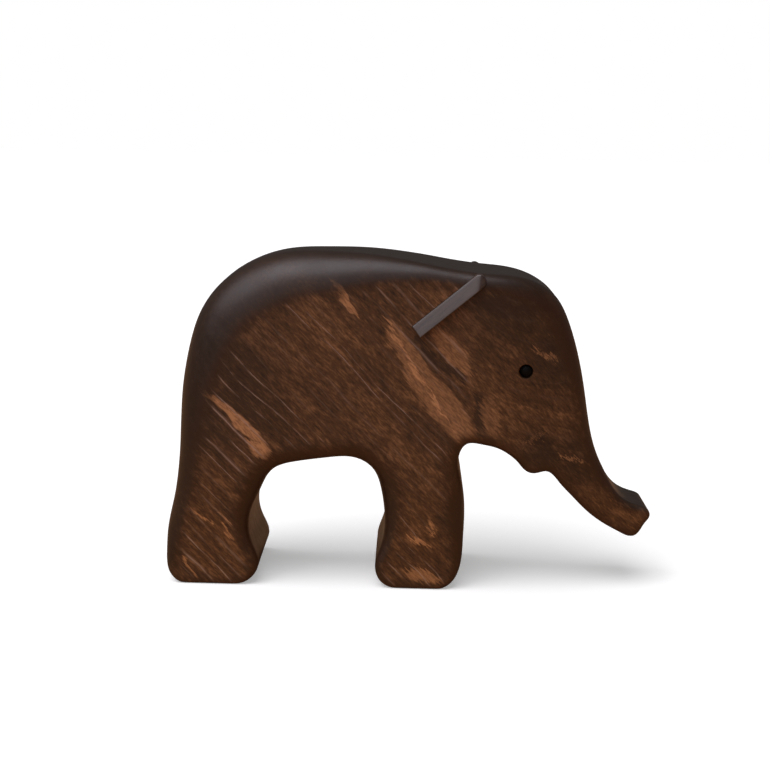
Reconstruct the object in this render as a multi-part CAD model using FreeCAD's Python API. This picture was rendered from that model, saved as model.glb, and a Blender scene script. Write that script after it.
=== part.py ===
import FreeCAD, Part
import math
import os
from FreeCAD import Vector

os.makedirs("parts", exist_ok=True)

# Millimetres. +X points to the trunk, +Z is up and Y = 0 is the board's middle plane.
# The figure is one sawn board, rounded over by hand. Its head is thinned toward the trunk.
# On each side an ear strip is let into a groove, and an eye peg is pressed into a blind hole.

BOARD_HALF = 14.0  # half of the 28 mm board
TALL = 100.0  # taller than the figure

# The outline over the top, from the heel up the rump, along the back, down the trunk, back under the chin
# and down to the front toe. A third number is the radius of the rounded-over edge at that point.
OVER = [
    (-55.0, 0.0, 0.8),
    (-58.6, 2.4),
    (-59.5, 7.5),
    (-59.2, 13.5, 4.2),
    (-57.7, 21.0),
    (-56.6, 29.5),
    (-56.1, 39.0, 6.0),
    (-55.8, 48.0),
    (-54.3, 58.1),
    (-51.6, 66.6, 11.5),
    (-46.5, 73.4),
    (-39.7, 78.2, 12.0),
    (-31.6, 81.0),
    (-21.0, 81.7, 9.5),
    (-9.5, 81.3),
    (3.0, 79.6, 3.8),
    (16.0, 77.7, 3.2),
    (23.5, 77.1),
    (29.0, 75.5),
    (34.0, 71.9, 5.5),
    (37.4, 65.8),
    (39.9, 58.0),
    (41.7, 50.0, 3.2),
    (43.1, 42.3),
    (45.2, 34.6),
    (48.5, 27.9, 2.5),
    (52.3, 22.7),
    (56.6, 20.7),
    (59.0, 19.6, 1.2),
    (59.5, 18.1),
    (58.4, 16.2),
    (57.1, 14.0),
    (55.9, 12.9, 1.2),
    (54.3, 12.8),
    (52.4, 13.6),
    (48.7, 15.6),
    (43.6, 19.3),
    (39.1, 23.8, 1.8),
    (36.4, 26.7),
    (34.8, 28.6),
    (33.1, 29.6),
    (31.2, 29.3, 1.8),
    (29.4, 29.2),
    (27.5, 30.2),
    (26.1, 31.8),
    (24.1, 33.6, 2.2),
    (21.0, 35.4),
    (16.9, 36.4),
    (13.6, 36.4, 2.4),
    (11.9, 33.6),
    (12.5, 28.0),
    (13.6, 20.0, 4.6),
    (13.5, 12.0),
    (13.0, 6.0),
    (11.2, 2.0),
    (7.5, 0.0, 0.8),
]

# The outline between the legs, from the front leg's heel over the arch to the rear foot's toe.
UNDER = [
    (-3.0, 0.0, 0.8),
    (-6.6, 1.4),
    (-8.1, 5.0),
    (-6.6, 11.0),
    (-6.0, 18.0),
    (-7.0, 24.2, 4.5),
    (-9.1, 29.3),
    (-13.1, 31.9),
    (-20.0, 31.9, 3.8),
    (-27.5, 30.7),
    (-33.4, 28.5),
    (-36.5, 23.2, 4.4),
    (-38.9, 17.0),
    (-38.3, 10.5),
    (-36.6, 5.0),
    (-38.8, 1.2),
    (-42.3, 0.0, 0.8),
]

# Seen from above, the side faces run parallel back to the neck, then close in evenly toward the trunk.
NECK_X = 12.0
TRUNK_X = 62.0
TRUNK_HALF = 7.7

# The ear strip, laid along the side with its ridge edge toward the trunk.
EAR_LOW = (0.6, 63.9)  # x, z at the middle of its square lower end
EAR_TOP = (15.1, 76.1)  # x, z at the centre of its round upper end
EAR_HALF_WIDTH = 1.6
EAR_SEAT = 12.0  # how far from the middle plane the groove's floor lies
EAR_RISE = 1.9  # how far its ridge edge stands above the side
EAR_THIN_EDGE = 0.1  # how far its back edge stands above the side
EAR_EDGE_RADIUS = 0.3
EAR_END_BEVEL = 3.4  # how far back from its upper tip it is sanded down
EAR_END_STAND = 0.2  # how far its upper tip stands above the side

# The eye peg and its blind hole, drilled square to the board.
EYE_CENTRE = (27.0, 54.7)
EYE_RADIUS = 1.5
EYE_HOLE_FLOOR = 7.0  # how far from the middle plane the hole ends
EYE_RIM = 11.95  # how far from the middle plane the peg's straight side ends
EYE_DOME = 0.55  # height of its domed end

SIDES = {"left": 1, "right": -1}


def curve_through(points):
    """A smooth curve through (x, z) points that leaves and arrives level, so that it runs into the soles."""
    level = Vector(-1, 0, 0)
    free = Vector(0, 0, 0)
    inner = len(points) - 2
    curve = Part.BSplineCurve()
    curve.interpolate(
        Points=[Vector(point[0], 0, point[1]) for point in points],
        Tangents=[level] + [free] * inner + [level],
        TangentFlags=[True] + [False] * inner + [True],
        Scale=False,
    )
    return curve


def radius_stations(curve, points):
    """The (curve parameter, edge radius) pairs of the points that carry a radius."""
    marked = [point for point in points if len(point) == 3]
    return [(curve.parameter(Vector(x, 0, z)), radius) for x, z, radius in marked]


def radius_along(stations, parameter):
    """The edge radius at a curve parameter, in straight steps between the stations."""
    for (start, first), (end, second) in zip(stations, stations[1:]):
        if parameter <= end:
            share = max(0.0, (parameter - start) / (end - start))
            return first + (second - first) * share
    return stations[-1][1]


def pieces_between(curve, stations):
    """The curve's edges, cut at the radius stations."""
    cuts = [parameter for parameter, radius in stations]
    return [curve.toShape(start, end) for start, end in zip(cuts, cuts[1:])]


def sole_line(start, end):
    return Part.makeLine(Vector(start[0], 0, start[1]), Vector(end[0], 0, end[1]))


def sawn_board(over, under):
    """The outline cut square through a board thicker than the figure."""
    thick = 4 * BOARD_HALF
    outline = pieces_between(*over)
    outline.append(sole_line(OVER[-1], UNDER[0]))
    outline += pieces_between(*under)
    outline.append(sole_line(UNDER[-1], OVER[0]))
    board = Part.Face(Part.Wire(outline)).extrude(Vector(0, thick, 0))
    board.translate(Vector(0, -thick / 2, 0))
    return board


def taper_edge(side):
    """One side of the head seen from above, parallel to the board at both of its ends."""
    third = (TRUNK_X - NECK_X) / 3
    poles = [
        Vector(NECK_X, side * BOARD_HALF, 0),
        Vector(NECK_X + third, side * BOARD_HALF, 0),
        Vector(TRUNK_X - third, side * TRUNK_HALF, 0),
        Vector(TRUNK_X, side * TRUNK_HALF, 0),
    ]
    curve = Part.BezierCurve()
    curve.setPoles(poles)
    return curve.toShape()


def side_envelope():
    """A tall block whose sides are the figure's two side faces."""
    back_x = -2 * TRUNK_X
    corners = [Vector(NECK_X, BOARD_HALF, 0), Vector(back_x, BOARD_HALF, 0)]
    corners += [Vector(back_x, -BOARD_HALF, 0), Vector(NECK_X, -BOARD_HALF, 0)]
    lines = [Part.makeLine(start, end) for start, end in zip(corners, corners[1:])]
    tip = Part.makeLine(Vector(TRUNK_X, -TRUNK_HALF, 0), Vector(TRUNK_X, TRUNK_HALF, 0))
    wire = Part.Wire(lines + [taper_edge(-1), tip, taper_edge(1)])
    block = Part.Face(wire).extrude(Vector(0, 0, 2 * TALL))
    block.translate(Vector(0, 0, -TALL))
    return block


def corner_angle(shape, edge):
    """The angle between the two faces that meet at an edge."""
    middle = edge.valueAt((edge.FirstParameter + edge.LastParameter) / 2)
    normals = []
    for face in shape.ancestorsOfType(edge, Part.Face):
        u, v = face.Surface.parameter(middle)
        normals.append(face.normalAt(u, v))
    return normals[0].getAngle(normals[1])


def edge_radius_at(point, over, under):
    """The rounded-over radius at a point of the outline. The soles take their ends' radius."""
    flat = Vector(point.x, 0, point.z)
    on_curve = 0.05
    for curve, stations in (over, under):
        parameter = curve.parameter(flat)
        if curve.value(parameter).distanceToPoint(flat) < on_curve:
            return radius_along(stations, parameter)
    return OVER[0][2]


def rounded_over(shape, over, under):
    """The board with every outline edge rounded, by a radius that changes along the outline."""
    square_corner = math.radians(30)
    document = FreeCAD.newDocument()
    blank = document.addObject("Part::Feature", "blank")
    blank.Shape = shape
    fillet = document.addObject("Part::Fillet", "rounded")
    fillet.Base = blank
    radii = []
    for number, edge in enumerate(shape.Edges, 1):
        if corner_angle(shape, edge) > square_corner:
            start = edge_radius_at(edge.valueAt(edge.FirstParameter), over, under)
            end = edge_radius_at(edge.valueAt(edge.LastParameter), over, under)
            radii.append((number, start, end))
    fillet.Edges = radii
    document.recompute()
    return fillet.Shape


def ear_plan():
    """The ear strip seen from the side: square at its lower end and round at its upper end."""
    low = Vector(EAR_LOW[0], 0, EAR_LOW[1])
    top = Vector(EAR_TOP[0], 0, EAR_TOP[1])
    along = (top - low).normalize()
    across = Vector(along.z, 0, -along.x) * EAR_HALF_WIDTH
    front = Part.makeLine(low + across, top + across)
    end = Part.Arc(top + across, top + along * EAR_HALF_WIDTH, top - across).toShape()
    back = Part.makeLine(top - across, low - across)
    foot = Part.makeLine(low - across, low + across)
    return Part.Face(Part.Wire([front, end, back, foot]))


def ear_wedge():
    """A long bar with the ear's sloping section, which rises from its back edge to its ridge edge."""
    low = Vector(EAR_LOW[0], 0, EAR_LOW[1])
    top = Vector(EAR_TOP[0], 0, EAR_TOP[1])
    along = (top - low).normalize()
    across = Vector(along.z, 0, -along.x) * EAR_HALF_WIDTH
    out = Vector(0, 1, 0)
    start = low - along * (2 * EAR_HALF_WIDTH)
    section = [
        start - across + out * EAR_SEAT,
        start + across + out * EAR_SEAT,
        start + across + out * (BOARD_HALF + EAR_RISE),
        start - across + out * (BOARD_HALF + EAR_THIN_EDGE),
    ]
    face = Part.Face(Part.makePolygon(section + [section[0]]))
    return face.extrude((top - low) + along * (4 * EAR_HALF_WIDTH))


def ear_end_waste():
    """What is sanded off above the ear's upper end, where it meets the rounded top of the head."""
    low = Vector(EAR_LOW[0], 0, EAR_LOW[1])
    top = Vector(EAR_TOP[0], 0, EAR_TOP[1])
    along = (top - low).normalize()
    across = Vector(along.z, 0, -along.x) * (2 * EAR_HALF_WIDTH)
    out = Vector(0, 1, 0)
    tip = top + along * EAR_HALF_WIDTH - across
    drop = EAR_RISE - EAR_END_STAND
    profile = [
        tip - along * EAR_END_BEVEL + out * (BOARD_HALF + EAR_RISE),
        tip + along * EAR_END_BEVEL + out * (BOARD_HALF + EAR_END_STAND - drop),
        tip + along * EAR_END_BEVEL + out * (BOARD_HALF + 2 * EAR_RISE),
        tip - along * EAR_END_BEVEL + out * (BOARD_HALF + 2 * EAR_RISE),
    ]
    return Part.Face(Part.makePolygon(profile + [profile[0]])).extrude(across * 2)


def ear_strip():
    """The left ear: its plan cut to the wedge, with the ridge edge eased."""
    thick = EAR_RISE + BOARD_HALF
    strip = ear_plan().extrude(Vector(0, thick, 0)).common(ear_wedge())
    strip = strip.cut(ear_end_waste())
    ridge = [edge for edge in strip.Edges if edge.BoundBox.YMin > BOARD_HALF + EAR_RISE - EAR_EDGE_RADIUS]
    return strip.makeFillet(EAR_EDGE_RADIUS, ridge)


def eye_hole():
    centre = Vector(EYE_CENTRE[0], EYE_HOLE_FLOOR, EYE_CENTRE[1])
    return Part.makeCylinder(EYE_RADIUS, BOARD_HALF, centre, Vector(0, 1, 0))


def eye_peg():
    """The left eye: a round peg with a domed end."""
    x, z = EYE_CENTRE
    out = Vector(0, 1, 0)
    shank = Part.makeCylinder(EYE_RADIUS, EYE_RIM - EYE_HOLE_FLOOR, Vector(x, EYE_HOLE_FLOOR, z), out)
    ball_radius = (EYE_RADIUS ** 2 + EYE_DOME ** 2) / (2 * EYE_DOME)
    ball = Part.makeSphere(ball_radius, Vector(x, EYE_RIM + EYE_DOME - ball_radius, z))
    cap = Part.makeCylinder(EYE_RADIUS, 2 * EYE_DOME, Vector(x, EYE_RIM, z), out)
    return shank.fuse(cap.common(ball)).removeSplitter()


def on_side(shape, side):
    """A shape made for the left side, or its mirror image for the right side."""
    if side > 0:
        return shape
    return shape.mirror(Vector(0, 0, 0), Vector(0, 1, 0))


def carved_body():
    """The sawn, thinned and rounded board, with its ear grooves and eye holes."""
    over_curve = curve_through(OVER)
    under_curve = curve_through(UNDER)
    over = (over_curve, radius_stations(over_curve, OVER))
    under = (under_curve, radius_stations(under_curve, UNDER))
    blank = sawn_board(over, under).common(side_envelope())
    body = rounded_over(blank, over, under)
    for side in SIDES.values():
        body = body.cut(on_side(ear_strip(), side))
        body = body.cut(on_side(eye_hole(), side))
    return body


def save(node, shape):
    solid = shape.Solids[0]
    if len(shape.Solids) != 1 or not solid.isValid():
        raise ValueError(node + " is not one valid solid")
    solid.exportStep("parts/" + node + ".step")
    box = solid.BoundBox
    print(node, "volume %.0f mm3" % solid.Volume, "x %.2f to %.2f" % (box.XMin, box.XMax))
    print("    y %.2f to %.2f" % (box.YMin, box.YMax), "z %.2f to %.2f" % (box.ZMin, box.ZMax))


save("body", carved_body())
for side_name, side_sign in SIDES.items():
    save("ear_" + side_name, on_side(ear_strip(), side_sign))
    save("eye_" + side_name, on_side(eye_peg(), side_sign))
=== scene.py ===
import math

import bmesh
import bpy
import numpy as np
from mathutils import Matrix, Vector, geometry


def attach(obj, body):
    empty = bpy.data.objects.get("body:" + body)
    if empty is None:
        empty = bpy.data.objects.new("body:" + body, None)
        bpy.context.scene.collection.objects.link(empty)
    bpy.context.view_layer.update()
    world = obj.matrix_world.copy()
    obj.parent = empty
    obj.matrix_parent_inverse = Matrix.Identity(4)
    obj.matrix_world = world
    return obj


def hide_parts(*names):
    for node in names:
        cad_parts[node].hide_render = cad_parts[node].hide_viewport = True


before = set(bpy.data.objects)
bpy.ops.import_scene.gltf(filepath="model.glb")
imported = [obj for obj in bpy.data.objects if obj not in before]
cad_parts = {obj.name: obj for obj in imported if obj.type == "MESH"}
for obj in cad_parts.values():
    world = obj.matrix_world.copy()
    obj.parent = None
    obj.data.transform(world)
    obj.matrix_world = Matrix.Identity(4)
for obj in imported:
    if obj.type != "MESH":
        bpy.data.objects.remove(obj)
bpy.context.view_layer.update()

MM = 0.001

# A small elephant sawn from one board and rounded over by hand. All sizes below are millimetres in the
# frame's axes: +X to the trunk, +Z up, Y across the board. The near side looks along -Y.

# The sawn outline over the top, from the heel up the rump and back, down the trunk, under the chin and down
# to the front toe. A third number is the radius of the rounded-over edge there.
OVER = [
    (-55.0, 0.0, 0.8),
    (-58.6, 2.4),
    (-59.5, 7.5),
    (-59.2, 13.5, 4.2),
    (-57.7, 21.0),
    (-56.6, 29.5),
    (-56.1, 39.0, 6.0),
    (-55.8, 48.0),
    (-54.3, 58.1),
    (-51.6, 66.6, 11.5),
    (-46.5, 73.4),
    (-39.7, 78.2, 12.0),
    (-31.6, 81.0),
    (-21.0, 81.7, 9.5),
    (-9.5, 81.3),
    (3.0, 79.6, 3.8),
    (16.0, 77.7, 3.2),
    (23.5, 77.1),
    (29.0, 75.5),
    (34.0, 71.9, 5.5),
    (37.4, 65.8),
    (39.9, 58.0),
    (41.7, 50.0, 3.2),
    (43.1, 42.3),
    (45.2, 34.6),
    (48.5, 27.9, 2.5),
    (52.3, 22.7),
    (56.6, 20.7),
    (59.0, 19.6, 1.2),
    (59.5, 18.1),
    (58.4, 16.2),
    (57.1, 14.0),
    (55.9, 12.9, 1.2),
    (54.3, 12.8),
    (52.4, 13.6),
    (48.7, 15.6),
    (43.6, 19.3),
    (39.1, 23.8, 1.8),
    (36.4, 26.7),
    (34.8, 28.6),
    (33.1, 29.6),
    (31.2, 29.3, 1.8),
    (29.4, 29.2),
    (27.5, 30.2),
    (26.1, 31.8),
    (24.1, 33.6, 2.2),
    (21.0, 35.4),
    (16.9, 36.4),
    (13.6, 36.4, 2.4),
    (11.9, 33.6),
    (12.5, 28.0),
    (13.6, 20.0, 4.6),
    (13.5, 12.0),
    (13.0, 6.0),
    (11.2, 2.0),
    (7.5, 0.0, 0.8),
]
# The outline between the legs, from the front heel over the arch to the rear toe.
UNDER = [
    (-3.0, 0.0, 0.8),
    (-6.6, 1.4),
    (-8.1, 5.0),
    (-6.6, 11.0),
    (-6.0, 18.0),
    (-7.0, 24.2, 4.5),
    (-9.1, 29.3),
    (-13.1, 31.9),
    (-20.0, 31.9, 3.8),
    (-27.5, 30.7),
    (-33.4, 28.5),
    (-36.5, 23.2, 4.4),
    (-38.9, 17.0),
    (-38.3, 10.5),
    (-36.6, 5.0),
    (-38.8, 1.2),
    (-42.3, 0.0, 0.8),
]

BOARD_HALF = 14.0
TRUNK_HALF = 7.7
NECK_X = 12.0
TRUNK_X = 62.0

# How finely the body is meshed: steps along the outline and over the side faces, rows round each edge and
# rows between the edges.
OUTLINE_STEP = 0.55
FACE_STEP = 0.8
ROUND_ROWS = 12
WALL_ROWS = 14
CURVE_STEPS = 60  # steps of the smooth curve for each outline point, before it is evened out
BATCH = 500  # points measured at once, to keep memory small

# The hand-shaped waver of the body, which fades out between these two heights above the soles.
WAVER_DEPTH = 0.15
WAVER_SIZE = 14
SOLE_FLAT = (0.5, 5)

EAR_LOW = (0.6, 63.9)
EAR_TOP = (15.1, 76.1)
EAR_HALF_WIDTH = 1.6
EAR_SEAT = 12.0
EAR_RISE = 1.78
EAR_THIN_EDGE = 0.1
EAR_EDGE_RADIUS = 0.3
EAR_END_BEVEL = 3.4
EAR_END_STAND = 0.2

EYE_CENTRE = (27.0, 54.7)
EYE_RADIUS = 1.5
EYE_HOLE_FLOOR = 7.0
EYE_RIM = 11.95
EYE_DOME = 0.55
EYE_SLACK = 0.02  # how much thinner the peg is than its hole
GROOVE_SLACK = 0.03  # how much wider the groove and the hole are than what they hold

SIDES = {"left": 1, "right": -1}

# The wood: fibres run down toward the trunk at 45 degrees, and the growth rings lie almost flat in the board.
FIBRE = (1, 0, -1)
FIBRE_ACROSS = (0.7, 0, 0.7)
RING_NORMAL = (1, -4.8, 1)
RING_GAP = 0.9
RING_SWAY = 1.1
RING_SWAY_SIZE = (24, 16, 16)
RING_TREMOR = 0.12
RING_TREMOR_SIZE = (3.5, 1.2, 1.2)
RING_BREAK_SIZE = (8, 1.6, 1.6)

# The figure's marks, as long as this along the fibres, across them and through the rings. A real pore is
# about 0.1 mm wide, so the flecks are drawn coarser than real ones, to show.
CLOUD_SIZE = (18, 8, 8)
MOTTLE_SIZE = (3.6, 1.3, 1.3)
FLECK_SIZE = (1.7, 0.42, 0.42)
FRAY_SIZE = (5, 0.5, 0.5)
FRAY_REACH = 2.2
SWAY_SIZE = (7, 3, 3)
SWAY_REACH = 0.8
STREAK_DEPTH = 8
STRIP_SIZE = (4, 0.6, 0.35)
PORE_SIZE = (0.22, 1.5, 0.22)
BOARD_RELIEF = 0.12
STRIP_RELIEF = 0.06

# The even dark border gives way to the planed side's figure between these distances inside the rounded edge.
PLANED_FROM = -1.5
PLANED_FULL = 2.2
EDGE_WANDER = 0.8

WOOD_DARK = "#2a190f"
WOOD_MIDDLE = "#57381f"
WOOD_LIGHT = "#8f6442"
RING_PALE = "#a98b7c"
STREAK_TAN = "#c98f62"
# Painted shade: the darkest edge and wall colour, laid where they face up or toward the rump.
EDGE_SHADED_DARK = "#26180f"
EDGE_LOW = "#3c2110"
WALL_WARM = "#4c2a12"
LEG_WARM = "#fff4d2"
STRIP_DARK = "#33241d"
STRIP_LIGHT = "#453127"
DOWEL_BLACK = "#030303"
DOWEL_BROWN = "#0b0908"
FLOOR_SEEN = "#f4f4ee"
FLOOR_FELT = "#b58a64"
LIGHT_COLOUR = (0.93, 0.92, 1.0)

# Broad darker patches, partly painted shade on the head and trunk, partly darker stain: x, z, reach and
# depth.
SHADE_AND_STAIN_PATCHES = [
    (-47, 50, 24, 0.55),
    (24, 72, 18, 0.55),
    (38, 60, 16, 0.6),
    (31, 34, 9, 0.6),
    (43, 34, 12, 0.5),
    (13, 18, 7, 0.4),
]

# Streaks on the side faces: side, start (x, z), end (x, z), width, strength.
PALE_STREAKS = [
    (-1, (-50.5, 49.5), (-33.0, 34.0), 3.2, 0.8),
    (-1, (-39.0, 36.5), (-33.5, 32.0), 3.6, 0.8),
    (-1, (-20.0, 76.0), (-12.6, 67.0), 1.7, 0.7),
    (-1, (-7.0, 66.5), (5.0, 50.0), 5.5, 0.42),
    (-1, (-2.5, 59.0), (15.5, 35.0), 8.5, 0.42),
    (-1, (4.0, 66.5), (14.5, 52.5), 5.0, 0.34),
    (-1, (-6.6, 66.4), (-1.0, 57.6), 1.0, 0.8),
    (-1, (-1.8, 59.4), (3.8, 49.6), 1.0, 0.9),
    (-1, (3.0, 51.6), (8.6, 42.2), 0.9, 0.9),
    (-1, (7.6, 44.0), (12.4, 37.2), 0.8, 0.7),
    (-1, (-53.2, 19.4), (-46.8, 15.4), 0.9, 0.7),
    (-1, (-46.0, 17.9), (-43.3, 15.1), 0.9, 0.7),
    (-1, (-45.3, 14.8), (-42.9, 11.4), 1.0, 0.7),
    (-1, (-55.6, 8.0), (-50.5, 0.6), 0.8, 0.6),
    (-1, (-0.4, 13.4), (5.9, 11.3), 1.4, 0.8),
    (-1, (5.0, 17.4), (5.9, 13.6), 1.4, 0.6),
    (-1, (-0.5, 4.6), (9.0, 2.2), 3.4, 0.6),
    (-1, (27.3, 60.1), (34.8, 57.7), 0.9, 0.4),
    (-1, (35.4, 33.7), (43.2, 32.0), 0.9, 0.5),
    (-1, (49.0, 21.8), (55.0, 20.4), 0.9, 0.4),
    (-1, (25.3, 35.5), (33.5, 41.2), 0.7, 0.3),
    (-1, (17.5, 49.0), (20.5, 37.5), 5.5, 0.25),
    (1, (-44.0, 70.5), (-30.0, 57.0), 3.0, 0.7),
    (1, (-18.0, 62.0), (-2.0, 43.0), 6.5, 0.5),
    (1, (-19.5, 62.5), (-11.0, 50.5), 1.0, 0.8),
    (1, (-54.0, 33.0), (-44.0, 22.0), 2.4, 0.6),
    (1, (14.0, 62.0), (21.0, 48.0), 3.2, 0.4),
    (1, (-1.0, 12.0), (7.5, 6.0), 2.2, 0.6),
]
# Darker streaks on the side faces, and one painted shadow under the ear strip's low end: side, start (x, z),
# end (x, z), width, strength.
DARK_STREAKS_AND_EAR_SHADOW = [
    (-1, (0.0, 61.0), (14.6, 51.2), 2.2, 0.7),
    # Painted shadow under the ear strip's low end.
    (-1, (-0.5, 62.5), (3.5, 60.5), 1.8, 0.6),
    (-1, (15.6, 52.0), (16.8, 36.0), 2.6, 0.6),
    (-1, (12.5, 71.0), (34.0, 70.0), 6.5, 0.55),
    (1, (-12.0, 66.0), (0.0, 55.0), 2.0, 0.7),
]


# ---------------------------------------------------------------- the outline

def smooth_curve(points, step):
    """Evenly spaced points on the smooth curve through the outline points, with each one's edge radius."""
    place = np.array([point[:2] for point in points], float)
    gap = np.linalg.norm(np.diff(place, axis=0), axis=1)
    slope = np.diff(place, axis=0) / gap[:, None]
    count = len(place)
    system = np.eye(count)
    target = np.tile([-1.0, 0.0], (count, 1))
    for i in range(1, count - 1):
        system[i, i - 1 : i + 2] = gap[i], 2 * (gap[i - 1] + gap[i]), gap[i - 1]
        target[i] = 3 * (gap[i] * slope[i - 1] + gap[i - 1] * slope[i])
    tangent = np.linalg.solve(system, target)
    along = np.concatenate([[0], np.cumsum(gap)])
    fine = np.linspace(0, along[-1], count * CURVE_STEPS)
    k = np.clip(np.searchsorted(along, fine, side="right") - 1, 0, count - 2)
    t = ((fine - along[k]) / gap[k])[:, None]
    h = gap[k][:, None]
    curve = (
        (1 + 2 * t) * (1 - t) ** 2 * place[k]
        + t * (1 - t) ** 2 * h * tangent[k]
        + t ** 2 * (3 - 2 * t) * place[k + 1]
        - t ** 2 * (1 - t) * h * tangent[k + 1]
    )
    marked = [i for i, point in enumerate(points) if len(point) == 3]
    radius = np.interp(fine, along[marked], [points[i][2] for i in marked])
    length = np.concatenate([[0], np.cumsum(np.linalg.norm(np.diff(curve, axis=0), axis=1))])
    even = np.linspace(0, length[-1], int(length[-1] / step) + 1)
    columns = [np.interp(even, length, column) for column in (curve[:, 0], curve[:, 1], radius)]
    return np.stack(columns, axis=1)


def straight_sole(start, end, step):
    """Evenly spaced points along a flat sole, without its two ends."""
    count = int(np.linalg.norm(end[:2] - start[:2]) / step)
    share = np.linspace(0, 1, count + 1)[1:-1, None]
    return start + (end - start) * share


def eased(values, reach):
    """A closed row of numbers averaged over its neighbours."""
    total = sum(np.roll(values, shift) for shift in range(-reach, reach + 1))
    return total / (2 * reach + 1)


def elephant_outline():
    """The closed outline as rows of x, z, edge radius, clockwise seen from the near side."""
    over = smooth_curve(OVER, OUTLINE_STEP)
    under = smooth_curve(UNDER, OUTLINE_STEP)
    front_sole = straight_sole(over[-1], under[0], OUTLINE_STEP)
    rear_sole = straight_sole(under[-1], over[0], OUTLINE_STEP)
    outline = np.concatenate([over, front_sole, under, rear_sole])
    outline[:, 2] = eased(outline[:, 2], 3)
    return outline


def outward(outline):
    """The unit vectors that point out of a clockwise closed outline."""
    ahead = np.roll(outline[:, :2], -1, axis=0) - np.roll(outline[:, :2], 1, axis=0)
    left = np.stack([-ahead[:, 1], ahead[:, 0]], axis=1)
    return left / np.linalg.norm(left, axis=1)[:, None]


def inside(points, loop):
    """Whether each point lies inside a closed loop."""
    x, z = points[:, 0][:, None], points[:, 1][:, None]
    ahead = np.roll(loop, -1, axis=0)
    straddles = (loop[:, 1] > z) != (ahead[:, 1] > z)
    rise = np.where(ahead[:, 1] == loop[:, 1], 1e-9, ahead[:, 1] - loop[:, 1])
    crossing = loop[:, 0] + (z - loop[:, 1]) / rise * (ahead[:, 0] - loop[:, 0])
    return (straddles & (x < crossing)).sum(1) % 2 == 1


def nearest(points, outline):
    """How far each point lies from the outline, and the edge radius there."""
    away = np.empty(len(points))
    radius = np.empty(len(points))
    for start in range(0, len(points), BATCH):
        gap = np.linalg.norm(points[start : start + BATCH, None] - outline[None, :, :2], axis=2)
        closest = gap.argmin(1)
        away[start : start + BATCH] = gap.min(1)
        radius[start : start + BATCH] = outline[closest, 2]
    return away, radius


def filled(loop, step):
    """Extra points inside a closed loop, and the triangles that fill it. The loop's own points come first."""
    low, high = loop.min(0), loop.max(0)
    rows = np.arange(low[1], high[1], step * math.sqrt(3) / 2)
    grid = []
    for number, z in enumerate(rows):
        shift = step / 2 * (number % 2)
        grid += [(x, z) for x in np.arange(low[0] + shift, high[0], step)]
    grid = np.array(grid)
    grid = grid[inside(grid, loop)]
    clear = np.full(len(grid), True)
    for start in range(0, len(loop), 50):
        away = np.linalg.norm(grid[:, None] - loop[None, start : start + 50], axis=2).min(1)
        clear &= away > 0.6 * step
    grid = grid[clear]
    points = [Vector(point) for point in np.concatenate([loop, grid])]
    ring = [(i, (i + 1) % len(loop)) for i in range(len(loop))]
    made = geometry.delaunay_2d_cdt(points, ring, [], 1, 1e-7)
    source = [origins[0] for origins in made[3]]
    triangles = [tuple(source[corner] for corner in face) for face in made[2]]
    return grid, triangles


# ---------------------------------------------------------------- meshes

def new_piece(name, points, faces):
    """A mesh object made from millimetre points."""
    mesh = bpy.data.meshes.new(name)
    mesh.from_pydata([tuple(float(value) * MM for value in point) for point in points], [], faces)
    mesh.validate()
    piece = bpy.data.objects.new(name, mesh)
    bpy.context.scene.collection.objects.link(piece)
    return piece


def face_outward(piece):
    """Merges doubles and turns every face outward."""
    work = bmesh.new()
    work.from_mesh(piece.data)
    bmesh.ops.remove_doubles(work, verts=work.verts, dist=1e-7)
    bmesh.ops.recalc_face_normals(work, faces=work.faces)
    work.to_mesh(piece.data)
    work.free()


def smooth_but_creased(piece, degrees):
    piece.data.shade_smooth()
    piece.data.set_sharp_from_angle(angle=math.radians(degrees))


def band_faces(rows, around):
    """Quads that join the closed rows of a band."""
    faces = []
    for row in range(rows - 1):
        for i in range(around):
            j = (i + 1) % around
            faces.append((row * around + i, row * around + j, (row + 1) * around + j, (row + 1) * around + i))
    return faces


def store(mesh, name, kind, values):
    layer = mesh.attributes.new(name, kind, "POINT")
    key = "vector" if kind == "FLOAT_VECTOR" else "value"
    layer.data.foreach_set(key, np.asarray(values, np.float32).ravel())


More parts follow.
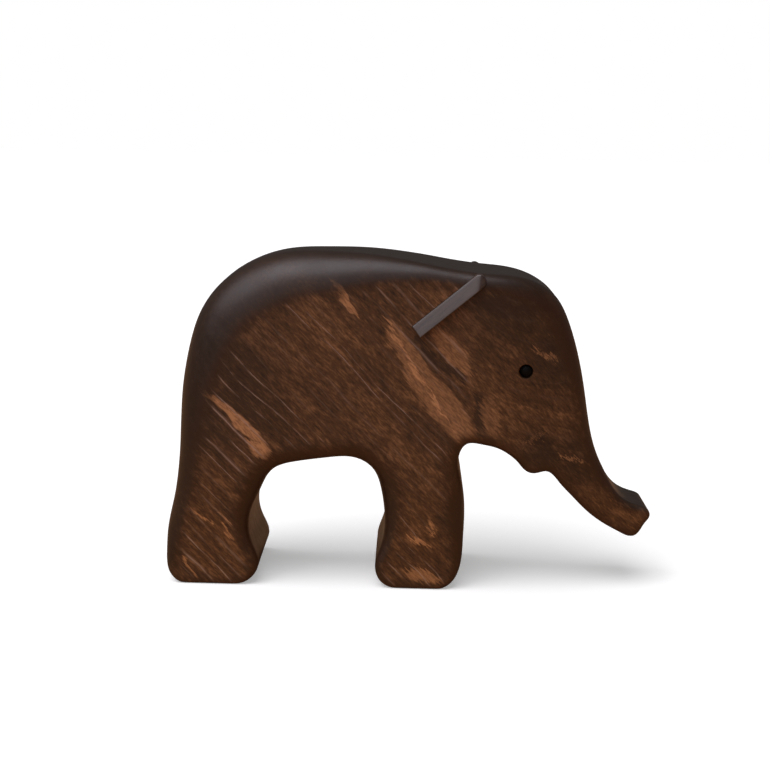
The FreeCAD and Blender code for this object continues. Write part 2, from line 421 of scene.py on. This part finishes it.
def sawn_blank():
    """The flat pattern of the body: every point at its inset place, with what the round-over rule needs."""
    outline = elephant_outline()
    out = outward(outline)
    around = len(outline)
    turns = np.linspace(1, 0, ROUND_ROWS + 1)
    walls = np.linspace(-1, 1, WALL_ROWS + 1)[1:-1]
    rows = [(-1.0, turn) for turn in turns] + [(side, 0.0) for side in walls]
    rows += [(1.0, turn) for turn in turns[::-1]]
    places, sides, rolls, radii, insides = [], [], [], [], []
    for side, turn in rows:
        inset = outline[:, 2] * (1 - np.cos(turn * math.pi / 2))
        places.append(outline[:, :2] - out * inset[:, None])
        sides.append(np.full(around, side))
        rolls.append(np.full(around, turn))
        radii.append(outline[:, 2])
        insides.append(inset - outline[:, 2])
    grid, triangles = filled(places[0], FACE_STEP)
    grid_away, grid_radius = nearest(grid, outline)
    faces = band_faces(len(rows), around)
    for side, first in ((-1.0, 0), (1.0, (len(rows) - 1) * around)):
        start = len(rows) * around + (0 if side < 0 else len(grid))
        for triangle in triangles:
            corners = [first + i if i < around else start + i - around for i in triangle]
            faces.append(corners if side < 0 else corners[::-1])
        places.append(grid)
        sides.append(np.full(len(grid), side))
        rolls.append(np.full(len(grid), 1.0))
        radii.append(np.full(len(grid), 1.0))
        insides.append(grid_away - grid_radius)
    flat = np.concatenate(places)
    points = np.stack([flat[:, 0], np.zeros(len(flat)), flat[:, 1]], axis=1)
    blank = new_piece("body_wood", points, faces)
    store(blank.data, "side", "FLOAT", np.concatenate(sides))
    store(blank.data, "roll", "FLOAT", np.concatenate(rolls))
    store(blank.data, "edge_radius", "FLOAT", np.concatenate(radii) * MM)
    store(blank.data, "inside_edge", "FLOAT", np.concatenate(insides))
    return blank


# ---------------------------------------------------------------- node trees

MATH = "ShaderNodeMath"
VECTOR = "ShaderNodeVectorMath"
RANGE = "ShaderNodeMapRange"
NOISE = "ShaderNodeTexNoise"
MIX = "ShaderNodeMix"
SMOOTH = "SMOOTHSTEP"


def add(tree, kind, inputs=(), **settings):
    """Adds a node, sets its properties, and fills or links its inputs, given in order or by name or number.
    A node given as an input is linked by its first output."""
    node = tree.nodes.new(kind)
    for name, value in settings.items():
        setattr(node, name, value)
    named = inputs if isinstance(inputs, dict) else dict(enumerate(inputs))
    for key, value in named.items():
        if isinstance(value, bpy.types.Node):
            value = value.outputs[0]
        if isinstance(value, bpy.types.NodeSocket):
            tree.links.new(value, node.inputs[key])
        else:
            node.inputs[key].default_value = value
    return node


def round_over_tree():
    """Geometry Nodes that give the flat blank its thickness, rounded edges, thinned head and waver."""
    tree = bpy.data.node_groups.new("round over the sawn board", "GeometryNodeTree")
    tree.interface.new_socket("Geometry", in_out="INPUT", socket_type="NodeSocketGeometry")
    for name in ("Board half", "Trunk half", "Neck", "Trunk tip", "Waver depth", "Waver size"):
        tree.interface.new_socket(name, in_out="INPUT", socket_type="NodeSocketFloat")
    tree.interface.new_socket("Wood", in_out="INPUT", socket_type="NodeSocketMaterial")
    tree.interface.new_socket("Geometry", in_out="OUTPUT", socket_type="NodeSocketGeometry")
    given = add(tree, "NodeGroupInput").outputs
    side = add(tree, "GeometryNodeInputNamedAttribute", {"Name": "side"})
    roll = add(tree, "GeometryNodeInputNamedAttribute", {"Name": "roll"})
    radius = add(tree, "GeometryNodeInputNamedAttribute", {"Name": "edge_radius"})
    place = add(tree, "GeometryNodeInputPosition")
    split = add(tree, "ShaderNodeSeparateXYZ", (place,)).outputs

    taper = add(
        tree, RANGE,
        (split[0], given["Neck"], given["Trunk tip"], given["Board half"], given["Trunk half"]),
        interpolation_type=SMOOTH,
    )
    angle = add(tree, MATH, (roll, math.pi / 2), operation="MULTIPLY")
    turned = add(tree, MATH, (angle,), operation="SINE")
    unturned = add(tree, MATH, (1.0, turned), operation="SUBTRACT")
    short = add(tree, MATH, (radius, unturned), operation="MULTIPLY")
    half = add(tree, MATH, (taper, short), operation="SUBTRACT")
    depth = add(tree, MATH, (side, half), operation="MULTIPLY")
    solid_place = add(tree, "ShaderNodeCombineXYZ", (split[0], depth, split[2]))
    shaped = add(tree, "GeometryNodeSetPosition", {"Geometry": given["Geometry"], "Position": solid_place})

    per_metre = add(tree, MATH, (1.0, given["Waver size"]), operation="DIVIDE")
    waver = add(tree, NOISE, {"Vector": solid_place, "Scale": per_metre, "Detail": 1.5, "Roughness": 0.4})
    above_sole = add(tree, RANGE, (split[2], SOLE_FLAT[0] * MM, SOLE_FLAT[1] * MM), interpolation_type=SMOOTH)
    kept = add(tree, MATH, (waver, above_sole), operation="MULTIPLY")
    sunk = add(tree, MATH, (kept, given["Waver depth"]), operation="MULTIPLY")
    inward = add(tree, MATH, (sunk, -1.0), operation="MULTIPLY")
    normal = add(tree, "GeometryNodeInputNormal")
    push = add(tree, VECTOR, {0: normal, "Scale": inward}, operation="SCALE")
    wavered = add(tree, "GeometryNodeSetPosition", {"Geometry": shaped, "Offset": push})
    whole = add(tree, "GeometryNodeRealizeInstances", {"Geometry": wavered})
    wooden = add(tree, "GeometryNodeSetMaterial", {"Geometry": whole, "Material": given["Wood"]})
    add(tree, "NodeGroupOutput", {"Geometry": wooden})
    return tree


def run_nodes(piece, tree, values):
    """Runs a Geometry Nodes tree on a piece and keeps only the plain mesh that it makes."""
    modifier = piece.modifiers.new(tree.name, "NODES")
    modifier.node_group = tree
    for item in tree.interface.items_tree:
        if item.in_out == "INPUT" and item.name in values:
            modifier[item.identifier] = values[item.name]
    depsgraph = bpy.context.evaluated_depsgraph_get()
    made = bpy.data.meshes.new_from_object(piece.evaluated_get(depsgraph))
    piece.modifiers.clear()
    piece.data = made


# ---------------------------------------------------------------- the ear strip and the eye

def ear_mesh(name, side, grow=0.0):
    """One ear strip: square at its low end, round at its upper end, rising from back edge to ridge."""
    low, top = np.array(EAR_LOW), np.array(EAR_TOP)
    length = np.linalg.norm(top - low)
    along = (top - low) / length
    across = np.array([along[1], -along[0]])
    wide = EAR_HALF_WIDTH + grow
    arc = np.linspace(math.pi / 2, -math.pi / 2, 25)
    straight = np.linspace(-grow, length, 45)[:-1]
    plan = [(run, wide) for run in straight]
    plan += [(length + wide * math.cos(angle), wide * math.sin(angle)) for angle in arc]
    plan += [(run, -wide) for run in straight[::-1]]
    plan += [(-grow, -wide * share) for share in np.linspace(1, -1, 9)[1:-1]]
    plan = np.array(plan)[::-1]
    if (plan[:, 0] * np.roll(plan[:, 1], -1) - plan[:, 1] * np.roll(plan[:, 0], -1)).sum() > 0:
        plan = plan[::-1]
    out = outward(plan)
    around = len(plan)
    radius = EAR_EDGE_RADIUS
    rows = []
    for turn in np.linspace(1, 0, 6):
        ease = turn * math.pi / 2
        flat = plan - out * radius * (1 - math.cos(ease))
        rows.append(np.column_stack([flat, np.full(around, radius * (math.sin(ease) - 1))]))
    grid, triangles = filled(rows[0][:, :2], 0.5)
    band = np.concatenate(rows)
    surface = np.concatenate([band, np.column_stack([grid, np.zeros(len(grid))])])
    height = ear_height(surface[:, 0], surface[:, 1], length) + surface[:, 2] + grow
    seat = np.column_stack([plan, np.full(around, EAR_SEAT - grow)])
    shaped = np.concatenate([np.column_stack([surface[:, :2], height]), seat])
    faces = band_faces(len(rows), around)
    last, first_seat = (len(rows) - 1) * around, len(surface)
    for i in range(around):
        j = (i + 1) % around
        faces.append((last + i, last + j, first_seat + j, first_seat + i))
    faces.append([first_seat + i for i in range(around)])
    inner = len(band)
    for triangle in triangles:
        faces.append([i if i < around else inner + i - around for i in triangle])
    flat = low + shaped[:, :1] * along + shaped[:, 1:2] * across
    points = np.column_stack([flat[:, 0], side * shaped[:, 2], flat[:, 1]])
    piece = new_piece(name, points, faces)
    face_outward(piece)
    return piece


def ear_height(run, across, length):
    """How far the ear's face stands from the middle plane, eased where its upper end is sanded down."""
    share = (across + EAR_HALF_WIDTH) / (2 * EAR_HALF_WIDTH)
    wedge = BOARD_HALF + EAR_THIN_EDGE + (EAR_RISE - EAR_THIN_EDGE) * share
    from_tip = length + EAR_HALF_WIDTH - run
    drop = EAR_RISE - EAR_END_STAND
    bevel = BOARD_HALF + EAR_END_STAND + drop * from_tip / EAR_END_BEVEL
    softness = 0.15
    gap = bevel - wedge
    return (wedge + bevel - np.sqrt(gap ** 2 + softness ** 2)) / 2


def turned_piece(name, profile, side, around=64):
    """A round piece on the eye's axis. The profile is (radius, distance from the middle plane)."""
    x, z = EYE_CENTRE
    angles = np.linspace(0, 2 * math.pi, around, endpoint=False)
    points = []
    for radius, reach in profile[1:-1]:
        points += [(x + radius * math.cos(a), side * reach, z + radius * math.sin(a)) for a in angles]
    faces = band_faces(len(profile) - 2, around)
    bottom, tip = len(points), len(points) + 1
    points += [(x, side * profile[0][1], z), (x, side * profile[-1][1], z)]
    last = (len(profile) - 3) * around
    for i in range(around):
        j = (i + 1) % around
        faces += [(bottom, j, i), (tip, last + i, last + j)]
    piece = new_piece(name, points, faces)
    face_outward(piece)
    return piece


def eye_mesh(name, side):
    """The eye peg with its domed end."""
    ball = (EYE_RADIUS ** 2 + EYE_DOME ** 2) / (2 * EYE_DOME)
    wide = EYE_RADIUS - EYE_SLACK
    foot = EYE_HOLE_FLOOR + EYE_SLACK
    profile = [(0, foot), (wide, foot), (wide, EYE_RIM - 0.3), (wide, EYE_RIM - 0.08)]
    for share in np.linspace(0.97, 0, 16):
        radius = EYE_RADIUS * share
        profile.append((radius, EYE_RIM + EYE_DOME - ball + math.sqrt(ball ** 2 - radius ** 2)))
    return turned_piece(name, profile, side)


def eye_drill(side):
    """What the eye's drill takes out, with the hole's mouth slightly worn."""
    wide = EYE_RADIUS + GROOVE_SLACK
    mouth = wide + 0.5
    beyond = BOARD_HALF + 1
    profile = [(0, EYE_HOLE_FLOOR), (wide, EYE_HOLE_FLOOR), (wide, 11.6), (wide + 0.06, 12.1)]
    profile += [(mouth, 13.2), (mouth, beyond), (0, beyond)]
    return turned_piece("eye_drill", profile, side)


def cut_away(piece, cutter):
    """Cuts one mesh out of another and removes the cutter."""
    modifier = piece.modifiers.new("cut", "BOOLEAN")
    modifier.operation = "DIFFERENCE"
    modifier.solver = "EXACT"
    modifier.object = cutter
    depsgraph = bpy.context.evaluated_depsgraph_get()
    made = bpy.data.meshes.new_from_object(piece.evaluated_get(depsgraph))
    piece.modifiers.clear()
    piece.data = made
    bpy.data.objects.remove(cutter)


# ---------------------------------------------------------------- finishes

def linear(hex_colour):
    """A linear colour from an sRGB hex value."""
    channels = [int(hex_colour[i : i + 2], 16) / 255 for i in (1, 3, 5)]
    bent = [c / 12.92 if c <= 0.04045 else ((c + 0.055) / 1.055) ** 2.4 for c in channels]
    return (*bent, 1.0)


def new_finish(name):
    """An empty material with its shader, and the point's place in millimetres."""
    material = bpy.data.materials.new(name)
    material.use_nodes = True
    tree = material.node_tree
    tree.nodes.clear()
    shader = add(tree, "ShaderNodeBsdfPrincipled")
    add(tree, "ShaderNodeOutputMaterial", {"Surface": shader})
    place = add(tree, "ShaderNodeTexCoord").outputs["Object"]
    place_mm = add(tree, VECTOR, {0: place, "Scale": 1 / MM}, operation="SCALE")
    return material, tree, shader, place_mm


def figure(tree, place, size, detail=3.0, rough=0.55):
    """Uneven wood figure from 0 to 1, with marks of a given size in millimetres along each axis."""
    shrunk = add(tree, VECTOR, (place, tuple(1 / length for length in size)), operation="MULTIPLY")
    return add(tree, NOISE, {"Vector": shrunk, "Scale": 1.0, "Detail": detail, "Roughness": rough})


def grain_place(tree, place):
    """The place measured along the fibres, across them, and through the growth rings, in millimetres."""
    fibre = Vector(FIBRE).normalized()
    through = Vector(RING_NORMAL).normalized()
    across = through.cross(fibre)
    along = []
    for axis in (fibre, across, through):
        reach = add(tree, VECTOR, (place, tuple(axis)), operation="DOT_PRODUCT")
        along.append(reach.outputs["Value"])
    return add(tree, "ShaderNodeCombineXYZ", along), along[2]


def ring_lines(tree, grain, through):
    """Thin pale lines where the growth rings meet the surface, uneven in spacing and strength."""
    depth = through
    for waving, reach in ((figure(tree, grain, RING_SWAY_SIZE, 1.0), RING_SWAY),
                          (figure(tree, grain, RING_TREMOR_SIZE, 2.0), RING_TREMOR)):
        moved = add(tree, MATH, (waving, reach), operation="MULTIPLY")
        depth = add(tree, MATH, (depth, moved), operation="ADD")
    rings = add(tree, MATH, (depth, RING_GAP), operation="DIVIDE")
    uneven = add(tree, NOISE, {"W": rings, "Scale": 0.6, "Detail": 0.0}, noise_dimensions="1D")
    rings = add(tree, MATH, (rings, uneven), operation="ADD")
    part = add(tree, MATH, (rings,), operation="FRACT")
    half_on = add(tree, MATH, (part, 0.5), operation="ADD")
    back_and_forth = add(tree, MATH, (half_on, 1.0), operation="PINGPONG")
    edge = add(tree, RANGE, (back_and_forth, 0.86, 1.0), interpolation_type=SMOOTH)
    rounded = add(tree, MATH, (rings, 0.5), operation="ADD")
    number = add(tree, MATH, (rounded,), operation="FLOOR")
    lot = add(tree, "ShaderNodeTexWhiteNoise", {"W": number}, noise_dimensions="1D").outputs["Value"]
    strength = add(tree, MATH, (lot, 1.8), operation="POWER")
    gaps = figure(tree, grain, RING_BREAK_SIZE, 3.0)
    broken = add(tree, RANGE, (gaps, 0.36, 0.6), interpolation_type=SMOOTH)
    whole = add(tree, MATH, (edge, strength), operation="MULTIPLY")
    return add(tree, MATH, (whole, broken), operation="MULTIPLY"), part


def side_at(x):
    """How far the side face stands from the middle plane."""
    share = min(max((x - NECK_X) / (TRUNK_X - NECK_X), 0), 1)
    return BOARD_HALF - (BOARD_HALF - TRUNK_HALF) * share ** 2 * (3 - 2 * share)


def streak(tree, place, side, start, end, width):
    """A soft-edged lens laid along one side face, from its start to its end."""
    run = Vector(end) - Vector(start)
    middle = (Vector(start) + Vector(end)) / 2
    lens = {
        "Vector": place,
        "Location": (middle.x, side * side_at(middle.x), middle.y),
        "Rotation": (0, math.atan2(-run.y, run.x), 0),
        "Scale": (run.length / 2, STREAK_DEPTH, width / 2),
    }
    local = add(tree, "ShaderNodeMapping", lens, vector_type="TEXTURE")
    reach = add(tree, VECTOR, (local,), operation="LENGTH").outputs["Value"]
    return add(tree, RANGE, (reach, 1.0, 0.72), interpolation_type=SMOOTH)


def streaks(tree, place, grain, marks):
    """All the streaks of one kind, with ends frayed along the fibres and sides swaying across them."""
    frayed = place
    ragged = figure(tree, grain, FRAY_SIZE, 3.0, 0.7)
    swaying = figure(tree, grain, SWAY_SIZE, 2.0)
    for pattern, reach, axis in ((ragged, FRAY_REACH, FIBRE), (swaying, SWAY_REACH, FIBRE_ACROSS)):
        amount = add(tree, RANGE, (pattern, 0.3, 0.7, -reach, reach), interpolation_type="LINEAR")
        direction = tuple(Vector(axis).normalized())
        push = add(tree, VECTOR, {0: direction, "Scale": amount}, operation="SCALE")
        frayed = add(tree, VECTOR, (frayed, push), operation="ADD")
    total = 0.0
    for side, start, end, width, strength in marks:
        lens = streak(tree, frayed, side, start, end, width)
        mark = add(tree, MATH, (lens, strength), operation="MULTIPLY")
        total = add(tree, MATH, (total, mark), operation="MAXIMUM")
    return total


def shade_and_stain_patches(tree, place):
    """How much darker, in broad soft patches that go right through the board: partly painted shade on the
    head and trunk, partly darker stain.
    """
    total = 0.0
    for x, z, reach, depth in SHADE_AND_STAIN_PATCHES:
        gap = add(tree, VECTOR, (place, (x, 0, z)), operation="SUBTRACT")
        flat = add(tree, VECTOR, (gap, (1, 0, 1)), operation="MULTIPLY")
        away = add(tree, VECTOR, (flat,), operation="LENGTH").outputs["Value"]
        patch = add(tree, RANGE, (away, reach, 0.3 * reach, 0, depth), interpolation_type=SMOOTH)
        total = add(tree, MATH, (total, patch), operation="MAXIMUM")
    return total


def board_tone(tree, patterns):
    """The wood's colour from dark to light, where patterns and weights swing it about its middle tone."""
    tone = 0.47
    for pattern, weight in patterns:
        centred = add(tree, MATH, (pattern, 0.5), operation="SUBTRACT")
        swing = add(tree, MATH, (centred, weight), operation="MULTIPLY")
        tone = add(tree, MATH, (tone, swing), operation="ADD")
    ramp = add(tree, "ShaderNodeValToRGB", {"Fac": tone})
    ramp.color_ramp.elements[0].color = linear(WOOD_DARK)
    ramp.color_ramp.elements[1].color = linear(WOOD_LIGHT)
    ramp.color_ramp.elements.new(0.5).color = linear(WOOD_MIDDLE)
    return ramp.outputs["Color"]


def stained_over(tree, colour, layers):
    """A colour with other colours laid over it one after another, each by its own share."""
    for share, stain in layers:
        colour = add(tree, MIX, {0: share, 6: colour, 7: stain}, data_type="RGBA").outputs[2]
    return colour


def edge_and_wall_with_painted_shade(tree, facing):
    """The stain on the rounded edges and on the sawn walls, with painted shade by facing: darkest where they
    face up or back toward the rump, warmer where they face down or forward.
    """
    backward = add(tree, MATH, (facing[0], 0.7), operation="MULTIPLY")
    lift = add(tree, MATH, (facing[2], backward), operation="SUBTRACT")
    facing_shade = add(tree, RANGE, (lift, -0.3, 0.5), interpolation_type=SMOOTH)
    stains = []
    for low_stain in (EDGE_LOW, WALL_WARM):
        inputs = {0: facing_shade, 6: linear(low_stain), 7: linear(EDGE_SHADED_DARK)}
        stains.append(add(tree, MIX, inputs, data_type="RGBA").outputs[2])
    return stains


def board_gloss(tree, shader, planed, mottle):
    """A satin oil finish, a little shinier on the rounded edges and slightly patchy."""
    sheen = add(tree, RANGE, (planed, 0, 1, 0.40, 0.50), interpolation_type=SMOOTH)
    patchy = add(tree, RANGE, (mottle, 0.3, 0.7, -0.04, 0.04), interpolation_type=SMOOTH)
    roughness = add(tree, MATH, (sheen, patchy), operation="ADD")
    tree.links.new(roughness.outputs[0], shader.inputs["Roughness"])
    shader.inputs["Specular IOR Level"].default_value = 0.38


def board_grain(tree, shader, planed, fleck, mottle):
    """Fine open grain, fainter on the rounded edges."""
    fine = add(tree, MATH, (fleck, 0.6), operation="MULTIPLY")
    coarse = add(tree, MATH, (mottle, 0.4), operation="MULTIPLY")
    relief = add(tree, MATH, (fine, coarse), operation="ADD")
    open_grain = add(tree, RANGE, (planed, 0, 1, 0.25, 1.0), interpolation_type=SMOOTH)
    height = add(tree, MATH, (relief, open_grain), operation="MULTIPLY")
    bump = add(tree, "ShaderNodeBump", {"Height": height, "Strength": 0.35, "Distance": BOARD_RELIEF * MM})
    tree.links.new(bump.outputs[0], shader.inputs["Normal"])


def stained_board():
    """Mahogany stained walnut brown and oiled. The eye sees fine pale ring lines, frayed tan streaks and
    broad darker patches on the planed sides, partly painted shade and partly darker stain, with a painted
    shadow under the ear's low end; a dark stain on the hand-rounded edges and warmer sawn walls low down,
    with painted shade making edges and walls darker where they face up or toward the rump."""
    material, tree, shader, place = new_finish("walnut-stained mahogany board, oiled")
    grain, through = grain_place(tree, place)
    line, ring_part = ring_lines(tree, grain, through)
    cloud = figure(tree, grain, CLOUD_SIZE, 1.0)
    mottle = figure(tree, grain, MOTTLE_SIZE, 3.0, 0.6)
    fleck = figure(tree, grain, FLECK_SIZE, 3.0, 0.6)

    normal = add(tree, "ShaderNodeTexCoord").outputs["Normal"]
    facing = add(tree, "ShaderNodeSeparateXYZ", (normal,)).outputs
    spot = add(tree, "ShaderNodeSeparateXYZ", (place,)).outputs
    inside_edge = add(tree, "ShaderNodeAttribute", attribute_name="inside_edge").outputs["Fac"]
    wander = add(tree, RANGE, (mottle, 0.3, 0.7, -EDGE_WANDER, EDGE_WANDER), interpolation_type="LINEAR")
    wandering = add(tree, MATH, (inside_edge, wander), operation="ADD")
    planed = add(tree, RANGE, (wandering, PLANED_FROM, PLANED_FULL), interpolation_type=SMOOTH)
    carved = add(tree, RANGE, (spot[0], NECK_X, NECK_X + 3.5), interpolation_type=SMOOTH)
    uncarved = add(tree, RANGE, (carved, 0, 1, 1.0, 0.12), interpolation_type=SMOOTH)
    lined = add(tree, MATH, (planed, uncarved), operation="MULTIPLY")

    speckle = add(tree, RANGE, (fleck, 0.35, 0.62, 0.55, 1.0), interpolation_type=SMOOTH)
    pale = streaks(tree, place, grain, PALE_STREAKS)
    pale_speckled = add(tree, MATH, (pale, speckle), operation="MULTIPLY")
    line_seen = add(tree, MATH, (line, lined), operation="MULTIPLY")
    colour = board_tone(tree, ((cloud, 0.7), (mottle, 0.85), (fleck, 1.25), (ring_part, 0.14)))
    colour = stained_over(tree, colour, (
        # Broad patches of painted shade and darker stain.
        (shade_and_stain_patches(tree, place), linear(WOOD_DARK)),
        # Dark streaks, one of them a painted shadow under the ear strip's low end.
        (streaks(tree, place, grain, DARK_STREAKS_AND_EAR_SHADOW), linear(WOOD_DARK)),
        (pale_speckled, linear(STREAK_TAN)),
        (line_seen, linear(RING_PALE)),
    ))
    low = add(tree, RANGE, (spot[2], 40, 15, 0, 0.5), interpolation_type=SMOOTH)
    legs = {0: low, 6: colour, 7: linear(LEG_WARM)}
    colour = add(tree, MIX, legs, data_type="RGBA", blend_type="MULTIPLY").outputs[2]

    # Painted shade on the edges and walls: darker where they face up or toward the rump.
    edge, wall = edge_and_wall_with_painted_shade(tree, facing)
    rounded = add(tree, MATH, (1.0, planed), operation="SUBTRACT")
    rounded_part = add(tree, MATH, (rounded, 0.85), operation="MULTIPLY")
    sideways = add(tree, MATH, (facing[1],), operation="ABSOLUTE")
    sawn = add(tree, RANGE, (sideways, 0.5, 0.12), interpolation_type=SMOOTH)
    sawn_part = add(tree, MATH, (sawn, 0.85), operation="MULTIPLY")
    colour = stained_over(tree, colour, ((rounded_part, edge), (sawn_part, wall)))
    tree.links.new(colour, shader.inputs["Base Color"])
    board_gloss(tree, shader, planed, mottle)
    board_grain(tree, shader, planed, fleck, mottle)
    return material


def stained_strip():
    """The ear's smooth end-cut wood under the same stain: nearly even, with faint streaks along the strip."""
    material, tree, shader, place = new_finish("walnut-stained ear strip, oiled")
    run = Vector((EAR_TOP[0] - EAR_LOW[0], 0, EAR_TOP[1] - EAR_LOW[1])).normalized()
    turn = math.atan2(-run.z, run.x)
    local = add(tree, "ShaderNodeMapping", {"Vector": place, "Rotation": (0, turn, 0)}, vector_type="TEXTURE")
    streaky = figure(tree, local, STRIP_SIZE, 3.0)
    tone = add(tree, RANGE, (streaky, 0.25, 0.75), interpolation_type=SMOOTH)
    ramp = add(tree, "ShaderNodeValToRGB", {"Fac": tone})
    ramp.color_ramp.elements[0].color = linear(STRIP_DARK)
    ramp.color_ramp.elements[1].color = linear(STRIP_LIGHT)
    tree.links.new(ramp.outputs["Color"], shader.inputs["Base Color"])
    roughness = add(tree, RANGE, (streaky, 0.3, 0.7, 0.36, 0.44), interpolation_type=SMOOTH)
    tree.links.new(roughness.outputs[0], shader.inputs["Roughness"])
    shader.inputs["Specular IOR Level"].default_value = 0.75
    bump = add(tree, "ShaderNodeBump", {"Height": streaky, "Strength": 0.25, "Distance": STRIP_RELIEF * MM})
    tree.links.new(bump.outputs[0], shader.inputs["Normal"])
    return material


def black_dowel():
    """End grain of a small dowel stained black and waxed: almost black, with tiny dull pores."""
    material, tree, shader, place = new_finish("black-stained dowel end, waxed")
    pores = figure(tree, place, PORE_SIZE, 2.0)
    tone = add(tree, RANGE, (pores, 0.35, 0.65), interpolation_type=SMOOTH)
    ramp = add(tree, "ShaderNodeValToRGB", {"Fac": tone})
    ramp.color_ramp.elements[0].color = linear(DOWEL_BLACK)
    ramp.color_ramp.elements[1].color = linear(DOWEL_BROWN)
    tree.links.new(ramp.outputs["Color"], shader.inputs["Base Color"])
    roughness = add(tree, RANGE, (pores, 0.3, 0.7, 0.6, 0.48), interpolation_type=SMOOTH)
    tree.links.new(roughness.outputs[0], shader.inputs["Roughness"])
    shader.inputs["Specular IOR Level"].default_value = 0.12
    return material


# ---------------------------------------------------------------- the elephant

def make_body(wood):
    body = sawn_blank()
    values = {
        "Board half": BOARD_HALF * MM, "Trunk half": TRUNK_HALF * MM, "Neck": NECK_X * MM,
        "Trunk tip": TRUNK_X * MM, "Waver depth": WAVER_DEPTH * MM, "Waver size": WAVER_SIZE * MM,
        "Wood": wood,
    }
    run_nodes(body, round_over_tree(), values)
    face_outward(body)
    for side in SIDES.values():
        cut_away(body, ear_mesh("ear_groove", side, grow=GROOVE_SLACK))
        cut_away(body, eye_drill(side))
    smooth_but_creased(body, 40)
    return body


def finish_piece(piece, node, material):
    piece.data.materials.clear()
    piece.data.materials.append(material)
    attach(piece, "root")
    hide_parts(node)


def make_elephant():
    board, strip, dowel = stained_board(), stained_strip(), black_dowel()
    finish_piece(make_body(board), "body", board)
    for name, side in SIDES.items():
        ear = ear_mesh("ear_strip_" + name, side)
        smooth_but_creased(ear, 50)
        finish_piece(ear, "ear_" + name, strip)
        eye = eye_mesh("eye_peg_" + name, side)
        smooth_but_creased(eye, 50)
        finish_piece(eye, "eye_" + name, dowel)


# ---------------------------------------------------------------- the set

def make_floor():
    """A plain pale floor, seen almost white, that throws light back as warm as a brown table would."""
    size = 3000.0
    corners = [(-size, -size, 0), (size, -size, 0), (size, size, 0), (-size, size, 0)]
    floor = new_piece("floor", corners, [(0, 1, 2, 3)])
    material = bpy.data.materials.new("pale studio floor")
    material.use_nodes = True
    tree = material.node_tree
    tree.nodes.clear()
    pale = add(tree, "ShaderNodeBsdfDiffuse", {"Color": linear(FLOOR_SEEN)})
    lift = add(tree, "ShaderNodeEmission", {"Color": (1, 1, 1, 1), "Strength": 0.35})
    seen = add(tree, "ShaderNodeAddShader", (pale, lift))
    felt = add(tree, "ShaderNodeBsdfDiffuse", {"Color": linear(FLOOR_FELT)})
    ray = add(tree, "ShaderNodeLightPath")
    both = add(tree, "ShaderNodeMixShader", (ray.outputs["Is Camera Ray"], felt, seen))
    add(tree, "ShaderNodeOutputMaterial", {"Surface": both})
    floor.data.materials.append(material)


def soft_light(name, heading, strength, spread):
    """A far, broad light. The strength is what a white card square to it sends back."""
    light = bpy.data.lights.new(name, "SUN")
    light.energy = strength * math.pi
    light.angle = math.radians(spread)
    light.color = LIGHT_COLOUR
    lamp = bpy.data.objects.new(name, light)
    lamp.rotation_euler = Vector(heading).to_track_quat("-Z", "Y").to_euler()
    bpy.context.scene.collection.objects.link(lamp)


def make_light():
    """Broad soft light from above and from the upper left, a little from the front, and a dim room."""
    soft_light("light above", (0.15, 0.2, -1.0), 0.55, 50)
    soft_light("light at the upper left", (0.8, 0.2, -0.9), 0.35, 50)
    soft_light("light in front", (0.35, 0.9, -0.6), 0.16, 60)

    world = bpy.data.worlds.new("room")
    world.use_nodes = True
    tree = world.node_tree
    tree.nodes.clear()
    seen = add(tree, "ShaderNodeBackground", {"Color": (1, 1, 1, 1), "Strength": 1.0})
    lit = add(tree, "ShaderNodeBackground", {"Color": (1, 1, 1, 1), "Strength": 0.1})
    ray = add(tree, "ShaderNodeLightPath")
    both = add(tree, "ShaderNodeMixShader", (ray.outputs["Is Camera Ray"], lit, seen))
    add(tree, "ShaderNodeOutputWorld", {"Surface": both})
    bpy.context.scene.world = world


def make_camera():
    """Nearly side on and a little above."""
    elevation, azimuth, roll = math.radians(12), math.radians(1), math.radians(1.15)
    distance = 320 * MM
    target = Vector((-6.65, 0, 48.0)) * MM
    back = Vector((
        math.sin(azimuth) * math.cos(elevation),
        -math.cos(azimuth) * math.cos(elevation),
        math.sin(elevation),
    ))
    data = bpy.data.cameras.new("camera")
    data.sensor_width = 36
    data.lens = 60.34
    data.clip_start, data.clip_end = 0.01, 20
    camera = bpy.data.objects.new("camera", data)
    turn = (-back).to_track_quat("-Z", "Y").to_matrix().to_4x4() @ Matrix.Rotation(roll, 4, "Z")
    camera.matrix_world = Matrix.Translation(target + back * distance) @ turn
    bpy.context.scene.collection.objects.link(camera)
    bpy.context.scene.camera = camera


make_elephant()
make_floor()
make_light()
make_camera()
bpy.context.scene.view_settings.view_transform = "Standard"
